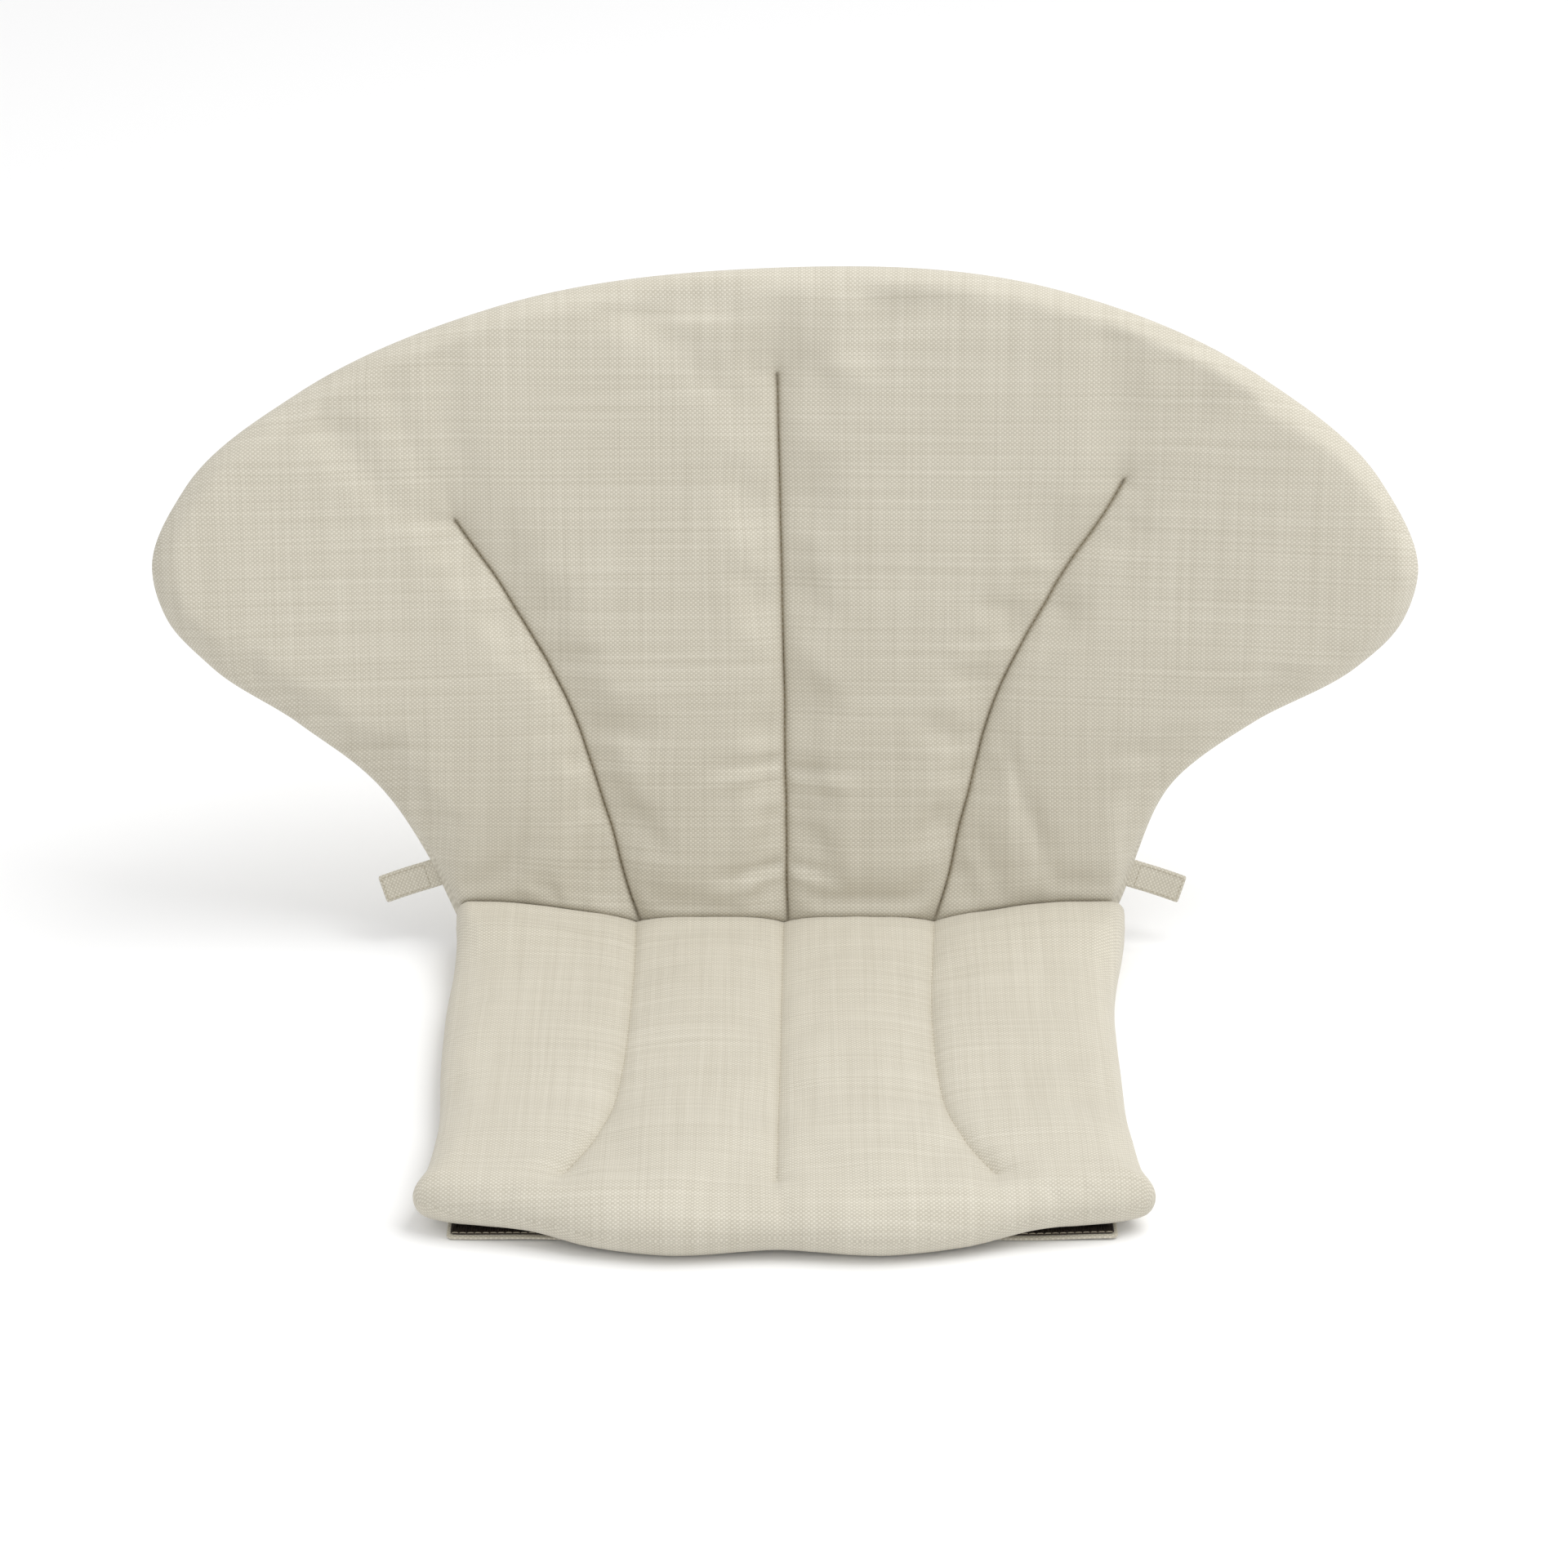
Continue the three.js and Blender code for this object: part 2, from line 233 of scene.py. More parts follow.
seat = Cushion(
    SEAT_OUTLINE, fan=0.9, fan_power=5.2, half=11,
    ends={"left": 0.89, "centre": 0.89, "right": 0.89},
    sway=((0.6, -2.4), (3.6, -1.0, 0.8), 0.0),
    columns=stations(COLUMN_STOPS, 0.002, 0.014),
    rows=stations([0, 1], 0.0012, 0.0085),
)
back = Cushion(
    BACK_OUTLINE, fan=0.31, fan_power=0.64, half=9.5,
    ends={"left": 0.71, "centre": 0.86, "right": 0.77},
    sway=((2.5, -2.8), (1.2, -3.6, 1.2), 3.8),
    columns=stations(COLUMN_STOPS, 0.0012, 0.0105),
    rows=stations([0, 1], 0.001, 0.0075),
)
for name, cushion in (("seat", seat), ("back", back)):
    print(name, "grid", cushion.columns.size, "x", cushion.rows.size)

# %% [markdown]
# ## Distances on the pad
# Every height on a sewn cushion depends on how far the cloth is from a seam. `edge_distance` measures
# to the outer seam, span by span, and `quilt_distance` to a quilt line. A quilt line stops before the
# far edge, so beyond its end its pull dies away with the distance to the last stitch.

# %% Distances to the seams
QUILT_LINE_POINTS = 80


def edge_distance(x, y, seam_x, seam_y):
    """How far each grid point is from a polyline."""
    start = np.stack([seam_x[:-1], seam_y[:-1]], -1)
    span = np.stack([np.diff(seam_x), np.diff(seam_y)], -1)
    nearest = np.empty_like(x)
    for line in range(len(x)):
        point = np.stack([x[line], y[line]], -1)[:, None]
        t = np.clip(((point - start) * span).sum(-1) / (span**2).sum(-1), 0, 1)[..., None]
        nearest[line] = np.linalg.norm(point - start - t * span, axis=-1).min(axis=1)
    return nearest


def free_edge(x, y):
    """The outer seam of a grid of points: up one side, along the far edge and down the other side."""
    return [np.concatenate([g[:, 0], g[-1, 1:-1], g[::-1, -1]]) for g in (x, y)]


def quilt_distance(cushion, x, y, line):
    """How far each grid point is from a quilt line, measured to the line's own stretch of stitches."""
    line_rows = np.linspace(0, cushion.ends[line], QUILT_LINE_POINTS)
    line_x, line_y = cushion.flat([QUILT_COLUMNS[line]], line_rows)
    return edge_distance(x, y, line_x[:, 0], line_y[:, 0])


# %% [markdown]
# ## The height of the stuffing
# The soft face rises from the outer seam in a tight roll, stays almost level, and is pulled down to the
# quilt lines. A quilt line pulls in two ways: the stuffing slopes down to it over about a centimetre,
# and the cloth itself folds into a narrow groove about a millimetre wide. At the fold the two cushions
# press against each other, so neither can cross the plane half-way between them.

# %% Quilted height
class Quilting:
    """How one face of a cushion is pulled in, in millimetres."""

    def __init__(self, valley, reach, groove, groove_reach, edge_roll, fold_roll, crown):
        self.valley, self.reach = valley, reach
        self.groove, self.groove_reach = groove, groove_reach
        self.edge_roll, self.fold_roll, self.crown = edge_roll, fold_roll, crown


FOLD_SLOPE = math.tan((math.pi / 2 + LEAN) / 2)
FOLD_GAP = 0.12


def quilted_height(cushion, quilting, x, y, at_fold):
    """The height of one face, and how far each point is from a quilt line and from the outer seam."""
    to_edge = edge_distance(x, y, *free_edge(x, y))
    nearest = np.min([quilt_distance(cushion, x, y, k) for k in QUILT_COLUMNS], axis=0)
    level = cushion.half - quilting.valley * np.exp(-nearest / quilting.reach)
    level = level - quilting.crown * np.exp(-nearest / (4 * quilting.reach))
    side_roll = quilting.edge_roll * (0.45 + 0.55 * smoothstep(y, 5, 50))
    height = level * rolled(to_edge, side_roll) * rolled(y - y.min(), quilting.fold_roll)
    fade = smoothstep(to_edge, 2, 12) * smoothstep(y, 1, 8)
    height = height - quilting.groove * np.exp(-((nearest / quilting.groove_reach) ** 1.3)) * fade
    if at_fold:
        height = np.minimum(height, FOLD_SLOPE * y - FOLD_GAP)
    return np.maximum(height, 0), nearest, to_edge


SOFT_BACK = Quilting(
    valley=4.2, reach=5.0, groove=1.8, groove_reach=0.7, edge_roll=12, fold_roll=9, crown=1.4)
REAR_BACK = Quilting(
    valley=3.2, reach=5.5, groove=1.6, groove_reach=0.8, edge_roll=12, fold_roll=15, crown=0.8)
SOFT_SEAT = Quilting(
    valley=3.0, reach=7.0, groove=0.35, groove_reach=2.0, edge_roll=13, fold_roll=14, crown=1.4)
UNDER_SEAT = Quilting(
    valley=1.4, reach=5.0, groove=0.9, groove_reach=1.2, edge_roll=12, fold_roll=15, crown=0.0)
print("the cushions meet on a plane that rises", round(FOLD_SLOPE, 3), "mm for each mm from the fold")

# %% [markdown]
# ## Closing a front and a rear face into one shell
# Both faces use the same grid and share its outermost ring of vertices, which is the sewn edge. One
# function lists the faces of such a shell, and one makes the mesh. The cloth's own coordinates, in
# metres across and along the bolt, go into a UV layer called Cloth, so that the weave turns and
# stretches with the fabric.

# %% Shells
def shell_faces(rows, columns):
    """The quads of a closed shell: a front grid, and a rear grid that shares the front's outer ring."""
    front = np.arange(rows * columns).reshape(rows, columns)
    rear = front.copy()
    rear[1:-1, 1:-1] = rows * columns + np.arange((rows - 2) * (columns - 2)).reshape(rows - 2, -1)

    def quads(g):
        return np.stack([g[:-1, :-1], g[:-1, 1:], g[1:, 1:], g[1:, :-1]], -1).reshape(-1, 4)

    return np.vstack([quads(front), quads(rear)[:, ::-1]])


def shell_points(front, rear):
    return np.vstack([front.reshape(-1, 3), rear[1:-1, 1:-1].reshape(-1, 3)])


def make_mesh(name, points, faces, cloth=None, seam=None):
    mesh = bpy.data.meshes.new(name)
    mesh.from_pydata(np.asarray(points).tolist(), [], [list(map(int, face)) for face in faces])
    mesh.shade_smooth()
    if cloth is not None:
        loops = np.empty(len(mesh.loops), int)
        mesh.loops.foreach_get("vertex_index", loops)
        mesh.uv_layers.new(name="Cloth").data.foreach_set("uv", np.asarray(cloth)[loops].ravel())
    # The seam attribute carries painted shade for the quilt grooves, which the cover mixes into its
    # colour.
    if seam is not None:
        shade = mesh.attributes.new("seam", "FLOAT", "POINT")
        shade.data.foreach_set("value", np.asarray(seam, float))
    piece = bpy.data.objects.new(name, mesh)
    bpy.context.scene.collection.objects.link(piece)
    return piece


# %% [markdown]
# ## Letting the cloth settle
# Stuffed cloth never lies perfectly smooth: next to a row of stitches it gathers into small puckers.
# Blender's cloth makes them. A coarse copy of the shell is held along every seam, a little slack is
# added with a negative shrink, and air pressure swells it for a few frames. What we keep is only how
# far each vertex moved, and a cubic B-spline carries that to the fine grid, where the sharp grooves
# are.

# %% Cloth simulation
PRESSURE = 4.0
SETTLING_FRAMES = 20
SLACK = -0.035
CAP = 3.0 * MM


def settle(points, faces, sewn):
    """How far air pressure moves each point of a shell that is sewn down at some of its points."""
    shell = make_mesh("settling", points, faces)
    shell.vertex_groups.new(name="sewn").add([int(k) for k in sewn], 1.0, "REPLACE")
    cloth = shell.modifiers.new("Cloth", "CLOTH")
    cloth.settings.quality = 5
    cloth.settings.mass = 0.25
    cloth.settings.tension_stiffness = 12
    cloth.settings.compression_stiffness = 12
    cloth.settings.bending_stiffness = 0.3
    cloth.settings.use_pressure = True
    cloth.settings.uniform_pressure_force = PRESSURE
    cloth.settings.shrink_min = SLACK
    cloth.settings.vertex_group_mass = "sewn"
    cloth.settings.effector_weights.gravity = 0
    for step in range(1, SETTLING_FRAMES + 1):
        bpy.context.scene.frame_set(step)
    swollen = shell.evaluated_get(bpy.context.evaluated_depsgraph_get()).to_mesh()
    after = np.empty(len(points) * 3)
    swollen.vertices.foreach_get("co", after)
    move = after.reshape(-1, 3) - points
    bpy.data.objects.remove(shell)
    bpy.context.scene.frame_set(1)
    length = np.linalg.norm(move, axis=1, keepdims=True)
    print("cloth moved by", round(length.mean() / MM, 2), "mm on average")
    return move * np.minimum(1, CAP / np.maximum(length, 1e-9))


def spline_weights(fine, coarse):
    """Cubic B-spline weights that carry values from coarse stations to fine ones."""
    place = np.interp(fine, coarse, np.arange(len(coarse)))
    away = np.abs(place[:, None] - np.arange(len(coarse)))
    weight = np.where(away < 1, 2 / 3 - away**2 + away**3 / 2, np.maximum(2 - away, 0) ** 3 / 6)
    return weight / weight.sum(axis=1, keepdims=True)


# %% [markdown]
# ## Building one cushion
# The parts above now come together: heights on the fine grid, the settled cloth of a coarse grid, and
# the small puckers that the quilting thread pulls at certain places. `puckers` lists those: on which
# quilt line, how far from the fold, to which side, how long, how deep and how tilted. The cloth's
# own coordinates count the length that goes over the rolled edges, but not into the grooves, because
# the weave would shear where a groove ends.

# %% Puckers and cushions
COARSE_STEP = 6.0


def pucker_depth(x, y, puckers, cushion):
    """Short folds that run out from a quilt line, each with a low ridge under it."""
    depth = np.zeros_like(x)
    some_rows = np.linspace(0, 1, 60)
    heights = cushion.flat([0.0], some_rows)[1][:, 0]
    for line, height, side, length, deep, tilt in puckers:
        row = np.interp(height, heights, some_rows)
        start_x = cushion.flat([QUILT_COLUMNS[line]], [row])[0][0, 0]
        out = (x - start_x) * side
        across = y - height - tilt * out
        width = 2.2 + 0.05 * np.clip(out, 0, None)
        fold = np.exp(-((across / width) ** 2)) - 0.75 * np.exp(-(((across + 2 * width) / width) ** 2))
        depth += deep * fold * smoothstep(out, 0.3, 3) * (1 - smoothstep(out, 0.3 * length, length))
    return depth


def end_dimple(x, y, cushion):
    """Past its last stitch a quilt line leaves a dimple, with short creases that fan out from it."""
    depth = np.zeros_like(x)
    for line, at in QUILT_COLUMNS.items():
        end_x, end_y = (float(g[0, 0]) for g in cushion.flat([at], [cushion.ends[line]]))
        reach, turn = np.hypot(x - end_x, y - end_y), np.arctan2(x - end_x, y - end_y)
        creases = np.cos(5 * turn + 1) * smoothstep(reach, 2, 7) * np.exp(-((reach / 15) ** 2))
        depth += 0.9 * np.exp(-((reach / 9) ** 2)) + 0.3 * creases
    return depth


def roll_crease(x, y, creases):
    """Short creases that run over a rolled edge, from its top down to its seam."""
    depth = np.zeros_like(x)
    for middle, start, width, deep, tilt in creases:
        across = x - middle - tilt * (y - start)
        fold = np.exp(-((across / width) ** 2)) - 0.5 * np.exp(-(((across - 2 * width) / width) ** 2))
        depth += deep * fold * smoothstep(y, start, start + 10)
    return depth


def settled(cushion, soft, rear, half_width, depth):
    """The front and the rear displacement of the cushion's fine grid, in metres."""
    columns = even_stations(COLUMN_STOPS, COARSE_STEP / half_width)
    rows = even_stations([0, 1], COARSE_STEP / depth)
    x, y = cushion.flat(columns, rows)
    faces = []
    for quilting, sign in ((soft, 1), (rear, -1)):
        height = quilted_height(cushion, quilting, x, y, sign > 0)[0]
        faces.append(np.stack([x, y, sign * height], -1) * MM)
    points = shell_points(*faces)
    shape = (len(rows), len(columns))
    number = np.arange(len(points))
    front = number[: x.size].reshape(shape)
    inner = number[x.size :].reshape(shape[0] - 2, shape[1] - 2)
    sewn = {*front[0], *front[-1], *front[:, 0], *front[:, -1]}
    for line, at in QUILT_COLUMNS.items():
        column, last = int(np.abs(columns - at).argmin()), int(np.searchsorted(rows, cushion.ends[line]))
        sewn |= {*front[:last, column], *inner[: last - 1, column - 1]}
    move = settle(points, shell_faces(*shape), sorted(sewn))
    to_rows, to_columns = spline_weights(cushion.rows, rows), spline_weights(cushion.columns, columns)
    rear_move = np.zeros(shape + (3,))
    rear_move[1:-1, 1:-1] = move[x.size :].reshape(inner.shape + (3,))
    both = (move[: x.size].reshape(shape + (3,)), rear_move)
    return [np.einsum("ri,ijk,cj->rck", to_rows, part, to_columns) for part in both]


def cloth_flow(x, y, rise):
    """The cloth's own coordinates: the flat ones, and the extra length that goes over each roll."""
    along_y, along_x = np.abs(np.diff(y, axis=0)), np.abs(np.diff(x, axis=1))
    extra_y = np.cumsum(np.hypot(along_y, np.diff(rise, axis=0)) - along_y, axis=0)
    extra_x = np.cumsum(np.hypot(along_x, np.diff(rise, axis=1)) - along_x, axis=1)
    extra_y = np.vstack([np.zeros((1, x.shape[1])), extra_y])
    extra_x = np.hstack([np.zeros((x.shape[0], 1)), extra_x])
    middle = extra_x[:, x.shape[1] // 2, None]
    return np.stack([x + extra_x - middle, y + extra_y], -1) * MM


def build_cushion(cushion, soft, rear, puckers, creases, place, ease):
    """The front and the rear grid of points in the frame, their cloth coordinates and seam distances."""
    x, y = cushion.flat(cushion.columns, cushion.rows)
    front, nearest, to_edge = quilted_height(cushion, soft, x, y, True)
    behind = quilted_height(cushion, rear, x, y, False)[0]
    gathers = pucker_depth(x, y, puckers, cushion) + end_dimple(x, y, cushion)
    front = front - gathers * smoothstep(to_edge, 2, 14)
    front = front - roll_crease(x, y, creases) * smoothstep(to_edge, 0, 4)
    grids = [np.stack([x, y, front], -1) * MM, np.stack([x, y, -behind], -1) * MM]
    half_width, depth = float(np.abs(x).mean() * 2), float(y.max())
    hold = (smoothstep(to_edge, 0, 9) * smoothstep(y, 4, 16))[..., None]
    moves = settled(cushion, soft, rear, half_width, depth)
    grids = [grid + ease * move * hold for grid, move in zip(grids, moves)]
    cloth = cloth_flow(x, y, cushion.half * rolled(to_edge, soft.edge_roll))
    return [place(grid) for grid in grids], cloth, nearest, to_edge


# %% [markdown]
# ## Where the seat lies and the back stands
# A pattern is flat, with y running away from the fold and z out of the soft face. The seat runs
# forwards from the fold and lies down, and only its front part is raised a little by the flap under it.
# The back is bent round the sitter, less and less towards the fold, which has to stay straight to work
# as a hinge. Then the whole back leans.

# %% Placing a flat pattern in the frame
SEAT_FRONT_LIFT, LIFT_STARTS, LIFT_ENDS = 3.8 * MM, 160 * MM, 200 * MM
FRONT_DROOP, DROOP_STARTS, DROOP_ENDS = 3.2 * MM, 238 * MM, 258 * MM
CURVE_RADIUS, CURVE_STARTS_OVER = 1.0, 110 * MM
SHOULDER_RISE, SHOULDER_SKIN = 7.0 * MM, 4.0 * MM
LOWEST = 0.1 * MM


def fold_rise(x, y, z):
    """The outer panels are stuffed harder, so the soft faces meet a little higher there."""
    outer = smoothstep(np.abs(x), 56 * MM, 128 * MM) * (1 - smoothstep(y, 12 * MM, 62 * MM))
    return SHOULDER_RISE * outer * smoothstep(z, 0, SHOULDER_SKIN)


def place_seat(grid):
    """The seat lies flat, its front raised by the flap, and sags between the flap's ends."""
    x, y, z = np.moveaxis(grid, -1, 0)
    lift = SEAT_FRONT_LIFT * smoothstep(y, LIFT_STARTS, LIFT_ENDS)
    middle = 1 - smoothstep(np.abs(x), 70 * MM, 125 * MM)
    lift = lift - FRONT_DROOP * middle * smoothstep(y, DROOP_STARTS, DROOP_ENDS)
    lift = lift + fold_rise(x, y, z)
    return np.stack([x, FOLD.y - y, np.maximum(FOLD.z + z + lift, LOWEST)], -1)


def place_back(grid):
    """The back leans, and curls round the sitter more and more above the fold."""
    x, y, z = np.moveaxis(grid, -1, 0)
    curl = np.maximum(smoothstep(y, 0, CURVE_STARTS_OVER) / CURVE_RADIUS, 1e-7)
    reach = 1 / curl - z
    bent_x, bent_z = reach * np.sin(x * curl), 1 / curl - reach * np.cos(x * curl)
    up, out = y + fold_rise(x, y, z), bent_z
    return np.stack([
        bent_x,
        FOLD.y + up * math.sin(LEAN) - out * math.cos(LEAN),
        FOLD.z + up * math.cos(LEAN) + out * math.sin(LEAN),
    ], -1)


# %% The two cushions
BACK_PUCKERS = [
    ("centre", 76, -1, 46, 1.4, -0.05),
    ("centre", 72, 1, 40, 1.5, 0.03),
    ("centre", 30, -1, 42, 1.6, -0.14),
    ("centre", 30, 1, 28, 1.5, -0.18),
    ("centre", 52, -1, 24, 0.7, 0.05),
    ("centre", 55, 1, 22, 0.6, -0.05),
]
SEAT_CREASES = [
    (-118, 236, 2.4, 0.9, -0.5), (-104, 238, 2.8, 0.7, -0.6), (-86, 242, 3.0, 0.5, -0.4),
    (116, 236, 2.4, 0.9, 0.5), (101, 237, 2.8, 0.8, 0.6), (84, 242, 3.0, 0.5, 0.4),
    (0, 240, 3.0, 0.7, 0.0),
]


def finish_cushion(name, cushion, soft, rear, puckers, creases, place, flip, shade, ease):
    grids, cloth, nearest, to_edge = build_cushion(cushion, soft, rear, puckers, creases, place, ease)
    front, behind = grids
    faces = shell_faces(*front.shape[:2])
    # Painted shade: the seam amount darkens the cover's colour along the quilt lines, for the shade deep
    # in the grooves, strongly on the back and weakly on the seat.
    amount, width = shade
    seam = amount * np.exp(-((nearest / width) ** 2)) * smoothstep(to_edge, 1, 8)
    points = shell_points(front, behind)
    both = shell_points(np.dstack([cloth, seam]), np.dstack([cloth, seam]))
    piece = make_mesh(name, points, faces[:, ::-1] if flip else faces, both[:, :2], both[:, 2])
    return piece, front, behind


seat_cushion, seat_front, seat_rear = finish_cushion(
    "seat_cushion", seat, SOFT_SEAT, UNDER_SEAT, [], SEAT_CREASES, place_seat, True,
    shade=(0.13, 2.0), ease=0.4)
back_cushion, back_front, back_rear = finish_cushion(
    "back_cushion", back, SOFT_BACK, REAR_BACK, BACK_PUCKERS, [], place_back, False,
    shade=(0.6, 0.9), ease=0.8)
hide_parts("seat_top_cover", "seat_bottom_cover", "seat_padding")
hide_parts("back_front_cover", "back_rear_cover", "back_padding")
for piece in (seat_cushion, back_cushion):
    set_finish(piece, "linen_cover")
    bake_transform(piece)
    print(piece.name, len(piece.data.vertices), "vertices")

# %% [markdown]
# ## Stitches
# A seam of real stitches isn't a line: each stitch is a short length of thread that comes up out of the
# cloth, lies on it, and goes down again. `stitch_run` makes one small tube for each stitch along a
# path, with both ends sunk into the cloth.

# %% Stitches along a path
def stitch_run(path, normal, pitch, radius, sink, share=0.86, sides=6, rings=5):
    """Points and faces of the stitches along a path, which runs on the surface of the cloth."""
    length = np.r_[0, np.cumsum(np.linalg.norm(np.diff(path, axis=0), axis=1))]
    count = max(1, int(length[-1] // pitch))
    step = length[-1] / count
    starts = (np.arange(count) + (1 - share) / 2) * step
    t = np.linspace(0, 1, rings)
    at = starts[:, None] + t * share * step
    centre = np.stack([np.interp(at, length, path[:, k]) for k in range(3)], -1)
    up = np.stack([np.interp(at, length, normal[:, k]) for k in range(3)], -1)
    up /= np.linalg.norm(up, axis=-1, keepdims=True)
    ahead = np.gradient(centre, axis=1)
    ahead /= np.linalg.norm(ahead, axis=-1, keepdims=True)
    sideways = np.cross(ahead, up)
    rise = radius * 0.6 - sink * (2 * t - 1) ** 4
    centre = centre + up * rise[None, :, None]
    angle = np.arange(sides) * 2 * np.pi / sides
    ring = np.cos(angle)[:, None] * sideways[:, :, None] + np.sin(angle)[:, None] * up[:, :, None]
    points = (centre[:, :, None] + radius * ring).reshape(-1, 3)
    base = np.arange(count)[:, None, None] * rings * sides + np.arange(rings - 1)[:, None] * sides
    a = base + np.arange(sides)
    b = base + (np.arange(sides) + 1) % sides
    quads = np.stack([b, a, a + sides, b + sides], -1).reshape(-1, 4)
    caps = np.arange(count)[:, None] * rings * sides + np.arange(sides)
    far_caps = (caps + (rings - 1) * sides)[:, ::-1]
    return points, quads.tolist() + caps.tolist() + far_caps.tolist()


def joined(parts):
    """Several lists of points and faces as one."""
    points, faces, base = [], [], 0
    for part_points, part_faces in parts:
        points.append(part_points)
        faces += [[int(k) + base for k in face] for face in part_faces]
        base += len(part_points)
    return np.vstack(points), faces


# %% [markdown]
# The quilting thread lies at the bottom of each groove, on both faces. Its path is simply a column of
# the cushion's grid, so thread and groove can't drift apart. The seat and the back each have three
# lines.

# %% Quilting threads
STITCH_PITCH, STITCH_SINK = 3.0 * MM, 0.5 * MM
FIRST_STITCH, LAST_STITCH_GAP = 0.035, 0.004
QUILT_THREADS = {"seat": 0.16 * MM, "back": 0.28 * MM}


def quilt_paths(cushion, grid, outward, line):
    """Points and outward normals along one quilt line of one face."""
    column = int(np.abs(cushion.columns - QUILT_COLUMNS[line]).argmin())
    rows = (cushion.rows > FIRST_STITCH) & (cushion.rows < cushion.ends[line] - LAST_STITCH_GAP)
    shoulder = 6
    across = grid[rows, column + shoulder] - grid[rows, column - shoulder]
    ahead = np.gradient(grid[rows, column], axis=0)
    normal = np.cross(across, ahead)
    normal /= np.linalg.norm(normal, axis=-1, keepdims=True)
    normal *= np.sign((normal * outward).sum(-1, keepdims=True))
    return grid[rows, column], normal


SEAT_UP = np.array((0, 0, 1.0))
BACK_OUT = np.array((0, -math.cos(LEAN), math.sin(LEAN)))
QUILTED = {
    "seat": (seat, seat_front, seat_rear, SEAT_UP),
    "back": (back, back_front, back_rear, BACK_OUT),
}
for body, (cushion, front_grid, rear_grid, outward) in QUILTED.items():
    for line in QUILT_COLUMNS:
        runs = [
            stitch_run(
                *quilt_paths(cushion, grid, side, line), STITCH_PITCH, QUILT_THREADS[body], STITCH_SINK)
            for grid, side in ((front_grid, outward), (rear_grid, -outward))
        ]
        thread = make_mesh(f"{body}_quilting_{line}", *joined(runs))
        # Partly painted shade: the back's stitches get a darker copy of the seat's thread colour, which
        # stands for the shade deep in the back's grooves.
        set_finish(thread, "quilting_thread" if body == "back" else "topstitch_thread")
        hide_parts(f"{body}_quilt_stitch_{line}")
        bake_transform(thread)
print("quilting threads on", len(QUILTED) * len(QUILT_COLUMNS), "lines")

# %% [markdown]
# ## Small flat pieces
# The fastening tabs, the flap and the strip under the fold are small pieces of doubled cloth. A `plate`
# is a rounded rectangle with a thin, soft section. Its corners are made by bending the corner squares
# of the grid into quarter discs, so the same closed shell works here too.

# %% A plate of doubled cloth
def plate(width, length, corner, thickness, step, edge=0.25):
    """Front and rear grids in millimetres: x across, y along, z out of the front."""
    half = np.array((width / 2, length / 2))
    columns, rows = (stations([-h, h], edge, step, 1.5) for h in half)
    x, y = np.meshgrid(columns, rows)
    point = np.stack([x, y], -1)
    core = np.clip(point, corner - half, half - corner)
    out = point - core
    size = np.linalg.norm(out, axis=-1, keepdims=True)
    out = out * np.abs(out).max(-1, keepdims=True) / np.maximum(size, 1e-9)
    flat = core + out
    straight = (half - np.abs(flat)).min(-1)
    beyond = (np.abs(point) > half - corner).all(-1)
    inside = np.where(beyond, corner - np.linalg.norm(out, axis=-1), straight)
    height = thickness / 2 * rolled(inside, thickness * 0.7)
    height[0] = height[-1] = 0
    height[:, 0] = height[:, -1] = 0
    return np.dstack([flat, height]), np.dstack([flat, -height])


def turned(faces, flip=True):
    """The faces with their outer side swapped for their inner side, where that is asked for."""
    return [list(face)[::-1] if flip else list(face) for face in faces]


def plate_piece(name, plate_grids, place, flip=False):
    """Places a plate, and keeps its flat measures as the cloth's coordinates."""
    front, rear = plate_grids
    flat = shell_points(front, rear)[:, :2] * MM
    points = shell_points(place(front), place(rear))
    faces = turned(shell_faces(*front.shape[:2]), flip)
    return make_mesh(name, points, faces, flat, np.zeros(len(points)))


HOOK_RINGS = ((1.0, 0.0, 0.0), (0.7, 0.05, 0.55), (0.75, 0.35, 1.0), (0.35, 0.75, 0.82))
HOOK_SIDES = 4


def hook_field(x, y, size, height):
    """Points and faces of small bent hooks that stand on z = 0 at the given places, in millimetres."""
    lean = RANDOM.uniform(0, 2 * np.pi, len(x))
    turn = np.arange(HOOK_SIDES) * 2 * np.pi / HOOK_SIDES
    parts = []
    for wide, drift, tall in HOOK_RINGS:
        ring_x = x[:, None] + size * (wide * np.cos(turn) / 2 + drift * np.cos(lean)[:, None])
        ring_y = y[:, None] + size * (wide * np.sin(turn) / 2 + drift * np.sin(lean)[:, None])
        parts.append(np.stack([ring_x, ring_y, np.full_like(ring_x, height * tall)], -1))
    points = np.stack(parts, 1)
    each, top = HOOK_SIDES * len(HOOK_RINGS), HOOK_SIDES * (len(HOOK_RINGS) - 1)
    foot = np.arange(len(x))[:, None] * each + np.arange(HOOK_SIDES)
    base = np.arange(len(x))[:, None, None] * each + np.arange(0, top, HOOK_SIDES)[:, None]
    a, b = base + np.arange(HOOK_SIDES), base + (np.arange(HOOK_SIDES) + 1) % HOOK_SIDES
    quads = np.stack([a, b, b + HOOK_SIDES, a + HOOK_SIDES], -1).reshape(-1, 4).tolist()
    return points.reshape(-1, 3), quads + foot[:, ::-1].tolist() + (foot + top).tolist()


# %% [markdown]
# ## The fastening tabs
# A short loop of the cover's own cloth is sewn into each side seam of the back. It has a patch of hook
# tape behind it, which grips the chair's frame. Each tab turns about its root, so its frame comes from
# its joint: the joint's axis runs along the root, and the tab's box in the engineering model shows
# which way is out.

# %% Tabs
TAB_LENGTH, TAB_WIDTH, TAB_THICK = 21.5, 12.5, 1.5
TAB_ROOT_INSET = 5.6
SIDE_POINTS, TRIM_SINK = 24, 0.25 * MM
TRIM_FINISHES = {"fabric": "linen_cover", "hook_tape": "hook_tape", "stitch": "topstitch_thread"}


